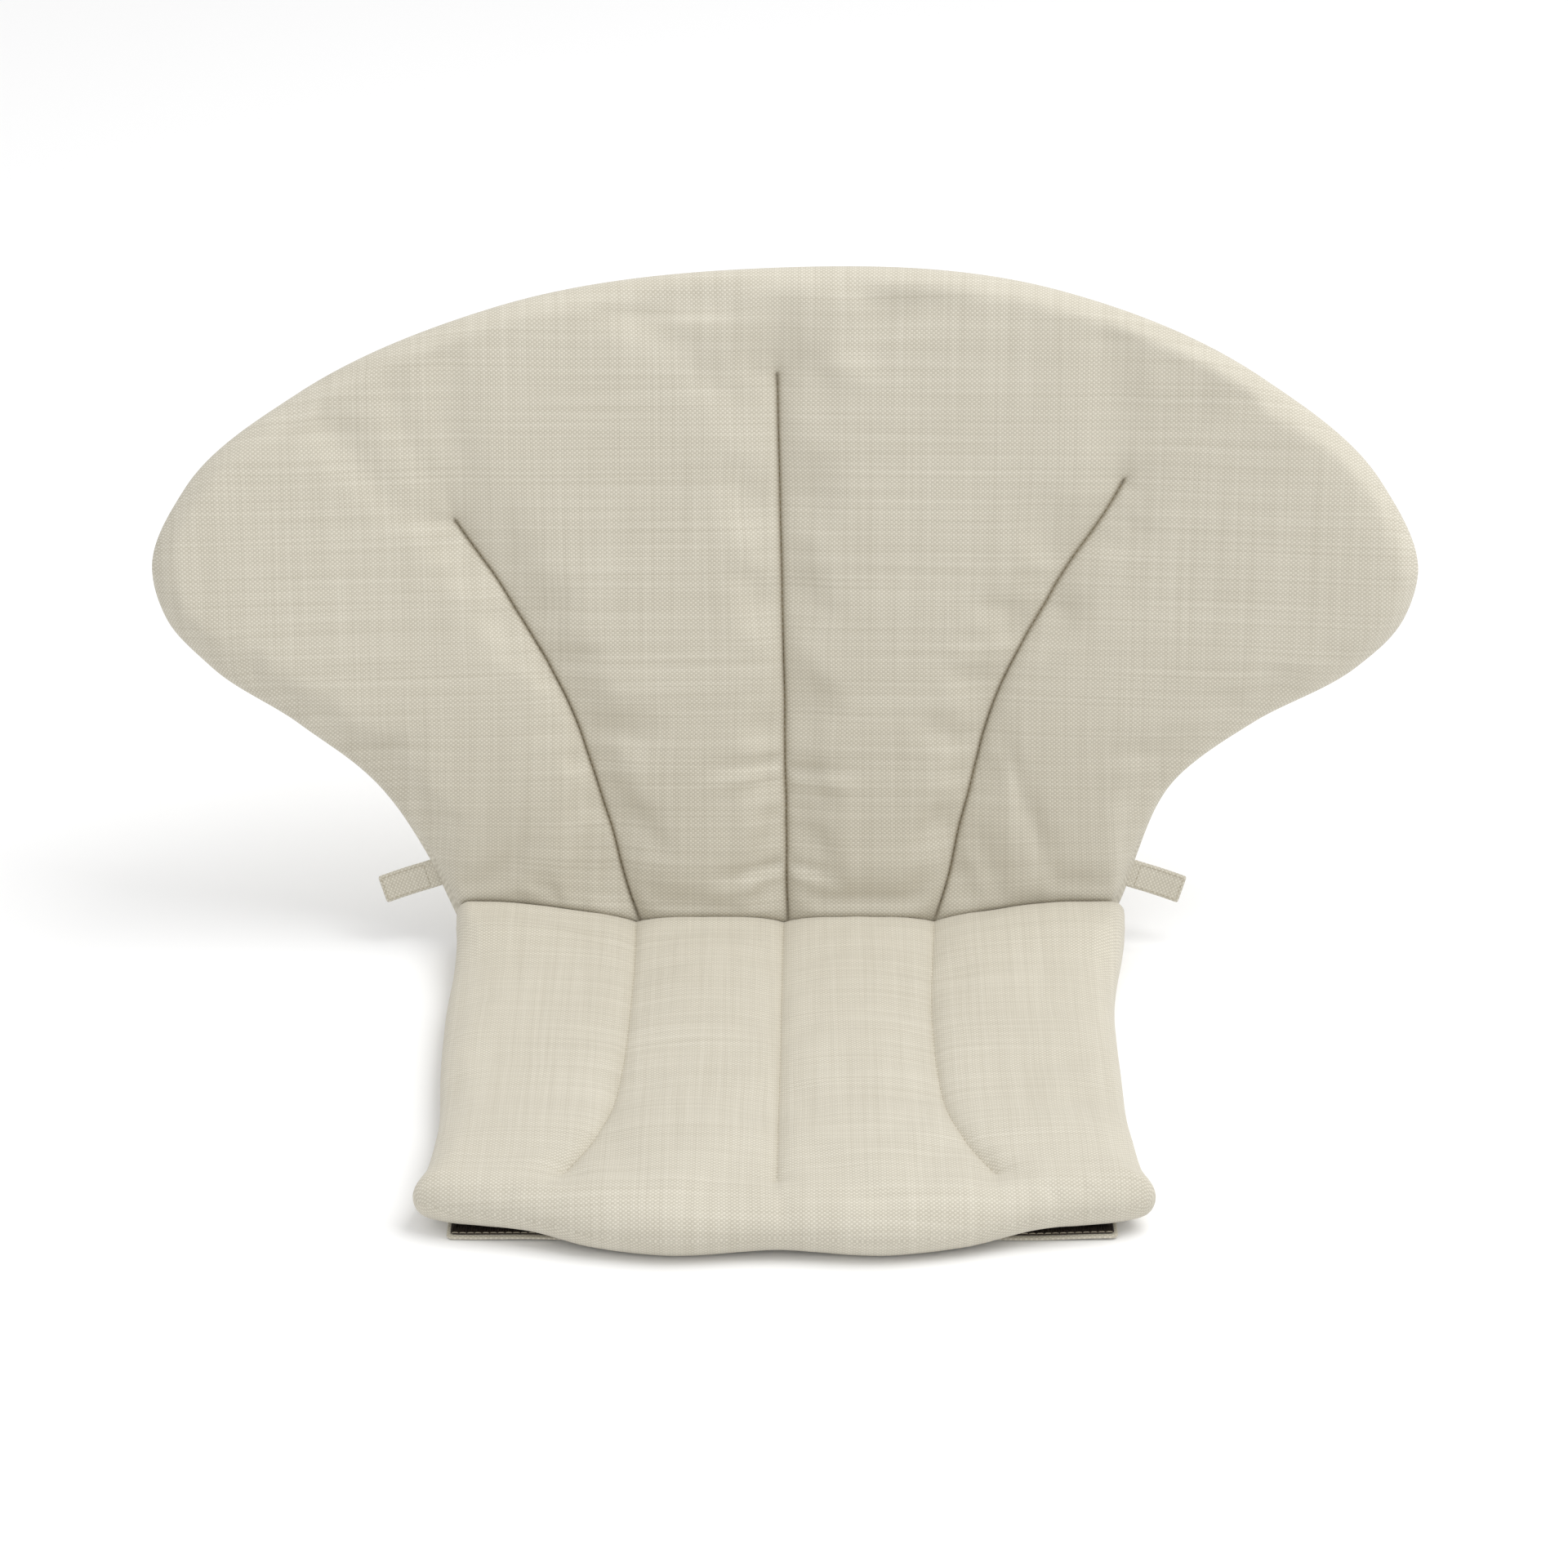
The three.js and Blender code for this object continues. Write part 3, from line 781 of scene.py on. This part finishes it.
def tab_frame(side):
    """The tab's origin at its root and its axes: across, outwards and towards the sitter."""
    joint = JOINTS[f"{side}_tab_fold"]
    root, axis = Vector(joint["pos_m"]), Vector(joint["axis"]).normalized()
    across = axis if axis.z > 0 else -axis
    low, high = (Vector(corner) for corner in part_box(f"{side}_tab_fabric"))
    outwards = (low + high) / 2 - root
    outwards = (outwards - across * outwards.dot(across)).normalized()
    soft = outwards.cross(across)
    soft = soft if soft.y < 0 else -soft
    return np.array(root), np.array([across, outwards, soft])


def tab_bend(y):
    """A tab isn't quite flat: it dips a little between its root and its tip."""
    return -0.9 * np.sin(np.pi * np.clip(y / TAB_LENGTH, 0, 1)) + 0.02 * y


def dress(pieces, body):
    """Gives a cloth, its hook tape and its stitches their finishes, hides the engineering nodes they
    replace and puts them on the body.
    """
    for piece, (node, finish) in zip(pieces, TRIM_FINISHES.items()):
        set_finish(piece, finish)
        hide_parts(f"{body}_{node}")
        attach(piece, body)


def make_tab(side):
    root, axes = tab_frame(side)
    left_handed = np.linalg.det(axes) < 0

    def place(offset_y, offset_z):
        def placed(points):
            x, y, z = np.moveaxis(np.asarray(points, float), -1, 0)
            y = y + offset_y
            local = np.stack([x, y, z + offset_z + tab_bend(y)], -1) * MM
            return root + local @ axes
        return placed

    centre = TAB_LENGTH / 2 - TAB_ROOT_INSET / 2
    fabric = plate_piece(
        f"{side}_tab_cloth",
        plate(TAB_WIDTH, TAB_LENGTH + TAB_ROOT_INSET, 1.1, TAB_THICK, 0.6),
        place(centre, 0), left_handed)
    tape_length, tape_width = TAB_LENGTH - 5, TAB_WIDTH - 1.4
    tape_at = TAB_LENGTH - tape_length / 2 - 0.6
    behind = -TAB_THICK / 2 - 0.35
    base = plate(tape_width, tape_length, 0.8, 0.6, 0.8)
    hooks_x, hooks_y = np.meshgrid(
        np.arange(-tape_width / 2 + 0.8, tape_width / 2 - 0.5, 0.85),
        np.arange(-tape_length / 2 + 0.8, tape_length / 2 - 0.5, 0.85))
    hook_points, hook_faces = hook_field(hooks_x.ravel(), hooks_y.ravel(), 0.45, 0.75)
    hook_points = hook_points * (1, 1, -1) - (0, 0, 0.2)
    tape_shell = (shell_points(*base), shell_faces(*base[0].shape[:2]).tolist())
    tape_points, tape_faces = joined([tape_shell, (hook_points, turned(hook_faces))])
    tape_points = place(tape_at, behind)(tape_points)
    tape = make_mesh(f"{side}_tab_hooks", tape_points, turned(tape_faces, left_handed))
    inset = 1.25
    x_side, y_low, y_high = TAB_WIDTH / 2 - inset, 0.9, TAB_LENGTH - inset
    corners = [(x_side, y_low), (x_side, y_high), (-x_side, y_high), (-x_side, y_low)]
    loop = np.array(corners + corners[:1])
    runs = []
    for start, end in zip(loop, loop[1:]):
        line = np.linspace(start, end, SIDE_POINTS)
        path = place(0, TAB_THICK / 2)(np.column_stack([line, np.zeros(SIDE_POINTS)]))
        out = np.tile(axes[2], (SIDE_POINTS, 1))
        runs.append(stitch_run(path, out, 2.3 * MM, 0.16 * MM, TRIM_SINK))
    stitches = make_mesh(f"{side}_tab_stitches", *joined(runs))
    dress((fabric, tape, stitches), f"{side}_tab")
    return fabric, tape, stitches


tabs = {side: make_tab(side) for side in ("left", "right")}
print("tabs", [piece.name for pieces in tabs.values() for piece in pieces])

# %% [markdown]
# ## The flap under the front edge
# A strip of cloth is sewn under the front of the seat, with hook tape on it that holds the pad to the
# chair's front edge. Only its ends show below the front roll. It lies flat under the seat, and turns
# down about its own seam.

# %% The front flap
FLAP_WIDTH, FLAP_ROOT, FLAP_END, FLAP_BOW = 264.0, 228.0, 243.5, 2.0
FLAP_ABOVE_FLOOR = 1.15


def flap_place(offset_y, offset_z):
    """From a plate's own millimetres to the frame: y runs forwards, and the middle is bowed."""
    def placed(points):
        x, y, z = np.moveaxis(np.asarray(points, float), -1, 0)
        y = y + offset_y
        reach = (y - FLAP_ROOT) / (FLAP_END - FLAP_ROOT)
        y = y + FLAP_BOW * reach * (1 - (2 * x / FLAP_WIDTH) ** 2)
        wave = 0.25 * np.sin(x / 9.0) * reach
        return np.stack([x, FOLD.y / MM - y, FLAP_ABOVE_FLOOR + z + offset_z + wave], -1) * MM
    return placed


flap_depth = FLAP_END - FLAP_ROOT
flap_grids = plate(FLAP_WIDTH, flap_depth, 2.2, 1.3, 1.5)
flap_faces = shell_faces(*flap_grids[0].shape[:2])[:, ::-1]
flap_at = flap_place(FLAP_ROOT + flap_depth / 2, 0)
flap_flat = shell_points(*flap_grids)[:, :2] * MM
front_flap = make_mesh(
    "front_flap_cloth", shell_points(*(flap_at(g) for g in flap_grids)), flap_faces, flap_flat,
    np.zeros(len(flap_flat)))
tape_depth, tape_width = flap_depth - 3.0, FLAP_WIDTH - 3.0
tape_grids = plate(tape_width, tape_depth, 1.6, 0.6, 1.5)
hooks_x, hooks_y = np.meshgrid(
    np.arange(-tape_width / 2 + 1, tape_width / 2 - 0.5, 1.05),
    np.arange(-tape_depth / 2 + 0.8, tape_depth / 2 - 0.4, 1.0))
hooks_x = hooks_x + RANDOM.uniform(-0.12, 0.12, hooks_x.shape)
hook_points, hook_faces = hook_field(hooks_x.ravel(), hooks_y.ravel(), 0.5, 0.8)
tape_shell = (shell_points(*tape_grids), shell_faces(*tape_grids[0].shape[:2]).tolist())
tape_points, tape_faces = joined([tape_shell, (hook_points + (0, 0, 0.2), hook_faces)])
front_hooks = make_mesh(
    "front_flap_hooks",
    flap_place(FLAP_ROOT + 1.2 + tape_depth / 2, 0.9)(tape_points), turned(tape_faces))
rim = FLAP_WIDTH / 2 - 1.9
SEAM_POINTS = 200
seam_line = np.zeros((SEAM_POINTS, 3))
seam_line[:, 0] = np.linspace(-rim, rim, SEAM_POINTS)
seam_line[:, 1] = flap_depth / 2 - 2.4
seam_path = flap_place(FLAP_ROOT + flap_depth / 2, 1.25)(seam_line)
seam_up = np.tile(SEAT_UP, (SEAM_POINTS, 1))
front_stitches = make_mesh(
    "front_flap_stitches", *stitch_run(seam_path, seam_up, STITCH_PITCH, 0.18 * MM, TRIM_SINK))
dress((front_flap, front_hooks, front_stitches), "front_flap")
print("flap", len(hooks_x.ravel()), "hooks")

# %% [markdown]
# ## The strip under the fold
# Behind the fold a strip of the same cloth covers the seam between the two cushions, held by a row of
# stitches along its middle. It crosses the hinge.

# %% The fold strip
STRIP_LENGTH, STRIP_WIDTH, STRIP_THICK = 278.0, 8.0, 1.0
NOTCH = np.array((0, math.sin(math.pi / 4 - LEAN / 2), -math.cos(math.pi / 4 - LEAN / 2)))
NOTCH_SIDE = np.cross((1, 0, 0), NOTCH)


def place_strip(points):
    """Folds a flat strip lengthways into the notch behind the fold."""
    x, y, z = np.moveaxis(np.asarray(points, float), -1, 0)
    arch = np.sqrt((0.85 * y) ** 2 + 1)
    deep = 1.1 + arch
    turn = np.arctan2(0.85**2 * y / arch, 0.6)
    deep = deep + z * np.cos(turn)
    aside = 0.6 * y - z * np.sin(turn)
    local = deep[..., None] * NOTCH + aside[..., None] * NOTCH_SIDE + x[..., None] * (1, 0, 0)
    return np.array(FOLD) + local * MM


strip = plate_piece(
    "fold_strip", plate(STRIP_LENGTH, STRIP_WIDTH, 1.0, STRIP_THICK, 1.2), place_strip, True)
STRIP_POINTS = 300
strip_line = np.zeros((STRIP_POINTS, 3))
strip_line[:, 0] = np.linspace(-STRIP_LENGTH / 2 + 3, STRIP_LENGTH / 2 - 3, STRIP_POINTS)
strip_line[:, 2] = STRIP_THICK / 2
strip_down = np.tile(NOTCH, (STRIP_POINTS, 1))
strip_thread = make_mesh(
    "fold_stitches",
    *stitch_run(place_strip(strip_line), strip_down, STITCH_PITCH, 0.2 * MM, TRIM_SINK))
for piece, node, finish in (
    (strip, "fold_seam_strip", "linen_cover"), (strip_thread, "fold_seam_stitch", "quilting_thread"),
):
    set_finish(piece, finish)
    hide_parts(node)
    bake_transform(piece)
print("strip at", [round(v / MM, 1) for v in place_strip([(0, 0, 0)])[0]])

# %% [markdown]
# ## Shader sums that read as sums
# A material's pattern is arithmetic on a few numbers that vary over the cloth. `Amount` wraps one
# socket and lets Python's own operators add the Math nodes, so a weave can be written as a formula.
# `Finish` is one material: it holds the shader, and one method that makes any other node. A Mix node
# has the same socket names for numbers, vectors and colours, so its colour sockets are found by their
# places.

# %% Amounts and finishes
MIX_SHARE, MIX_FIRST, MIX_SECOND, MIX_RESULT = 0, 6, 7, 2


class Amount:
    """A number that varies over a surface."""

    def __init__(self, finish, socket):
        self.finish, self.socket = finish, socket

    def __add__(self, other):
        return self.finish.maths("ADD", self, other)

    def __radd__(self, other):
        return self.finish.maths("ADD", other, self)

    def __sub__(self, other):
        return self.finish.maths("SUBTRACT", self, other)

    def __rsub__(self, other):
        return self.finish.maths("SUBTRACT", other, self)

    def __mul__(self, other):
        return self.finish.maths("MULTIPLY", self, other)

    def __rmul__(self, other):
        return self.finish.maths("MULTIPLY", other, self)

    def sine(self):
        return self.finish.maths("SINE", self)

    def size(self):
        return self.finish.maths("ABSOLUTE", self)

    def power(self, other):
        return self.finish.maths("POWER", self, other)

    def between(self, low, high):
        limits = {"Value": self, "Min": low, "Max": high}
        return self.finish.node("ShaderNodeClamp", {}, limits).amount("Result")


class Made:
    """A node that has been made, and the sockets it gives."""

    def __init__(self, finish, node):
        self.finish, self.node = finish, node

    def amount(self, name):
        return Amount(self.finish, self.node.outputs[name])

    def __getitem__(self, name):
        return self.node.outputs[name]


class Finish:
    """One material, built from nodes."""

    def __init__(self, name, **shader):
        self.material = bpy.data.materials.new(name)
        self.material.use_nodes = True
        self.tree = self.material.node_tree
        self.shader = self.tree.nodes["Principled BSDF"]
        for socket, value in shader.items():
            self.shader.inputs[socket.replace("_", " ")].default_value = value

    def node(self, kind, settings=None, sockets=None):
        node = self.tree.nodes.new(kind)
        for key, value in (settings or {}).items():
            setattr(node, key, value)
        for key, value in (sockets or {}).items():
            self.put(node.inputs[key], value)
        return Made(self, node)

    def put(self, socket, value):
        if isinstance(value, Amount):
            value = value.socket
        if isinstance(value, bpy.types.NodeSocket):
            self.tree.links.new(value, socket)
        else:
            socket.default_value = value

    def maths(self, operation, *values):
        sockets = dict(enumerate(values))
        return self.node("ShaderNodeMath", {"operation": operation}, sockets).amount("Value")

    def set(self, name, value):
        self.put(self.shader.inputs[name], value)

    def mix(self, share, first, second):
        """Two colours mixed by a share from 0 to 1."""
        sockets = {MIX_SHARE: share, MIX_FIRST: first, MIX_SECOND: second}
        return self.node("ShaderNodeMix", {"data_type": "RGBA"}, sockets)[MIX_RESULT]

    def noise(self, place, scale, detail=2.0, stretch=(1, 1, 1)):
        """Noise about 0.5 at a place, which may be stretched along its axes."""
        if stretch != (1, 1, 1):
            settings = {"operation": "MULTIPLY"}
            place = self.node("ShaderNodeVectorMath", settings, {0: place, 1: stretch})["Vector"]
        sockets = {"Vector": place, "Scale": scale, "Detail": detail}
        return self.node("ShaderNodeTexNoise", {}, sockets).amount("Fac")

    def bump(self, height, distance, strength=1.0, under=None):
        sockets = {"Height": height, "Distance": distance, "Strength": strength}
        if under is not None:
            sockets["Normal"] = under
        return self.node("ShaderNodeBump", {}, sockets)["Normal"]


def colour(red, green, blue):
    """An sRGB colour, 0 to 255, as the linear colour that a shader takes."""
    def linear(level):
        level = level / 255
        return level / 12.92 if level <= 0.04045 else ((level + 0.055) / 1.055) ** 2.4
    return (linear(red), linear(green), linear(blue), 1.0)


# %% [markdown]
# ## The cover cloth
# The cover is a plain weave in two yarns: the warp, which runs up the cloth, is a little lighter than
# the weft. Each yarn passes over and under the crossing ones in turn, so one cell in two shows the
# warp, and every cell is a small pillow. Real linen-like yarn is uneven: long thick and thin places,
# called slubs, show as fine streaks both ways. The pattern reads the Cloth coordinates, in metres, so
# its scale is true.

# %% The cover material
WARP_PITCH, WEFT_PITCH = 1.03 * MM, 0.86 * MM
# The third colour is painted shade: a darker brown that the cover mixes in along the quilt grooves, for
# the shade that falls in them.
YARN_DARK, YARN_LIGHT, GROOVE_PAINTED_SHADE = colour(171, 164, 147), colour(218, 213, 199), colour(150, 137, 108)


def weave(finish, pitch_across, pitch_along):
    """The height of a plain weave, the share of warp in each cell and the yarns' unevenness."""
    place = finish.node("ShaderNodeUVMap", {"uv_map": "Cloth"})["UV"]
    drift = finish.noise(place, 55, 1.0)
    axes = finish.node("ShaderNodeSeparateXYZ", {}, {"Vector": place})
    across = axes.amount("X") * (math.pi / pitch_across) + drift * 2.2
    along_warp = axes.amount("Y") * (math.pi / pitch_along) + drift * 2.6
    warp, weft = across.sine(), along_warp.sine()
    pillow = (warp * weft).size().power(0.45)
    share = (warp * weft * 2.5 + 0.5).between(0, 1)
    up = finish.noise(place, 1, 2.0, (560, 9, 1))
    side = finish.noise(place, 1, 2.0, (8, 640, 1))
    return place, pillow, share, up, side


def cover_cloth():
    finish = Finish("cover_cloth", Roughness=0.92, Sheen_Weight=0.12, Sheen_Roughness=0.5)
    place, pillow, share, up, side = weave(finish, WARP_PITCH, WEFT_PITCH)
    cloud = finish.noise(place, 22, 3.0)
    slubs = (up - 0.5) * 0.36 + (side - 0.5) * 0.5 + (cloud - 0.5) * 0.2
    tone = share * 0.42 + pillow * 0.34 + slubs + 0.11
    cloth = finish.mix(tone.between(0, 1), YARN_DARK, YARN_LIGHT)
    # Painted shade: the seam attribute darkens the cloth's colour towards the quilt lines, where the
    # grooves lie in shade.
    seam = finish.node("ShaderNodeAttribute", {"attribute_name": "seam"}).amount("Fac")
    finish.set("Base Color", finish.mix((seam * 0.7).between(0, 1), cloth, GROOVE_PAINTED_SHADE))
    finish.set("Roughness", 0.98 - pillow * 0.12)
    height = pillow + (up + side) * 0.5
    finish.set("Normal", finish.bump(height, 0.16 * MM, 0.55))
    return finish.material


def thread_finish(name, dark, light):
    """Twisted thread: fine slanting bands along its length."""
    finish = Finish(name, Roughness=0.75, Sheen_Weight=0.1)
    place = finish.node("ShaderNodeTexCoord")["Object"]
    axes = finish.node("ShaderNodeSeparateXYZ", {}, {"Vector": place})
    along = axes.amount("X") + axes.amount("Y") + axes.amount("Z")
    twist = (along * (2 * math.pi / (0.7 * MM))).sine()
    uneven = finish.noise(place, 900, 1.0)
    finish.set("Base Color", finish.mix((twist * 0.3 + uneven * 0.5 + 0.25).between(0, 1), dark, light))
    finish.set("Normal", finish.bump(twist, 0.05 * MM, 0.6))
    return finish.material


def hook_tape_finish():
    finish = Finish("hook_tape", Roughness=0.6)
    place = finish.node("ShaderNodeTexCoord")["Object"]
    speck = finish.noise(place, 1400, 2.0)
    broad = finish.noise(place, 60, 2.0)
    tone = (speck * 0.7 + broad * 0.3).between(0, 1)
    finish.set("Base Color", finish.mix(tone, colour(20, 15, 12), colour(66, 54, 44)))
    finish.set("Roughness", 0.5 + speck * 0.3)
    finish.set("Normal", finish.bump(speck, 0.2 * MM, 0.5))
    return finish.material


COVER = cover_cloth()
FINISHES = {
    "linen_cover": COVER,
    # Partly painted shade: quilting_thread is a darker copy of topstitch_thread's colour, standing for
    # the shade in the back's deep grooves.
    "quilting_thread": thread_finish("quilting_thread", colour(112, 100, 72), colour(152, 139, 110)),
    "topstitch_thread": thread_finish("topstitch_thread", colour(150, 141, 118), colour(205, 197, 178)),
    "hook_tape": hook_tape_finish(),
}
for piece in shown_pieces():
    if "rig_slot" in piece and piece.type == "MESH":
        piece.data.materials.clear()
        piece.data.materials.append(FINISHES[piece["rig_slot"]])
print("finishes", sorted(FINISHES))

# %% [markdown]
# ## Floor, light and camera
# A pale floor runs out of sight, a pale world fills the shadows, and one large soft lamp above and a
# little to the right models the quilting. The long lens keeps the wings from looking larger than the
# seat.

# %% Stage
AIM = FOLD + Vector((0.7, 18, 61)) * MM
ELEVATION, DISTANCE = math.radians(26), 2.0
scene = bpy.context.scene
FLOOR_REACH = 40.0
floor_mesh = bpy.data.meshes.new("floor")
floor_mesh.from_pydata(
    [(-FLOOR_REACH, -FLOOR_REACH, 0), (FLOOR_REACH, -FLOOR_REACH, 0),
     (FLOOR_REACH, FLOOR_REACH, 0), (-FLOOR_REACH, FLOOR_REACH, 0)], [], [(0, 1, 2, 3)])
floor = bpy.data.objects.new("floor", floor_mesh)
scene.collection.objects.link(floor)
floor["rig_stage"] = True
floor_finish = Finish("floor", Base_Color=(0.93, 0.93, 0.93, 1), Roughness=0.9)
floor_mesh.materials.append(floor_finish.material)


def lamp(name, place, size, watts):
    data = bpy.data.lights.new(name, "AREA")
    data.size, data.energy = size, watts
    light = bpy.data.objects.new(name, data)
    light.location = AIM + Vector(place)
    light.rotation_euler = (-Vector(place)).to_track_quat("-Z", "Y").to_euler()
    scene.collection.objects.link(light)


lamp("key", (0.95, -0.3, 2.0), 1.5, 28)
world = bpy.data.worlds.new("daylight")
world.use_nodes = True
sky = world.node_tree.nodes["Background"].inputs
sky["Color"].default_value = (1, 1, 1, 1)
sky["Strength"].default_value = 0.86
scene.world = world
scene.view_settings.view_transform = "Standard"

# %% Camera
lens = bpy.data.cameras.new("camera")
lens.lens, lens.sensor_width = 105, 36
camera = bpy.data.objects.new("camera", lens)
camera.location = AIM + DISTANCE * Vector((0, -math.cos(ELEVATION), math.sin(ELEVATION)))
camera.rotation_euler = (math.pi / 2 - ELEVATION, 0, 0)
scene.collection.objects.link(camera)
scene.camera = camera
print("camera at", [round(v, 4) for v in camera.location])

# %% [markdown]
# ## Is it still the same size?
# Cloth may stand a little proud of the engineering model, but no more.

# %% Finish
VISUAL_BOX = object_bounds()
boxes = {"cad": CAD_BOX, "visual": VISUAL_BOX}
for name, box in boxes.items():
    print(name, "box", [[round(v, 4) for v in corner] for corner in box])
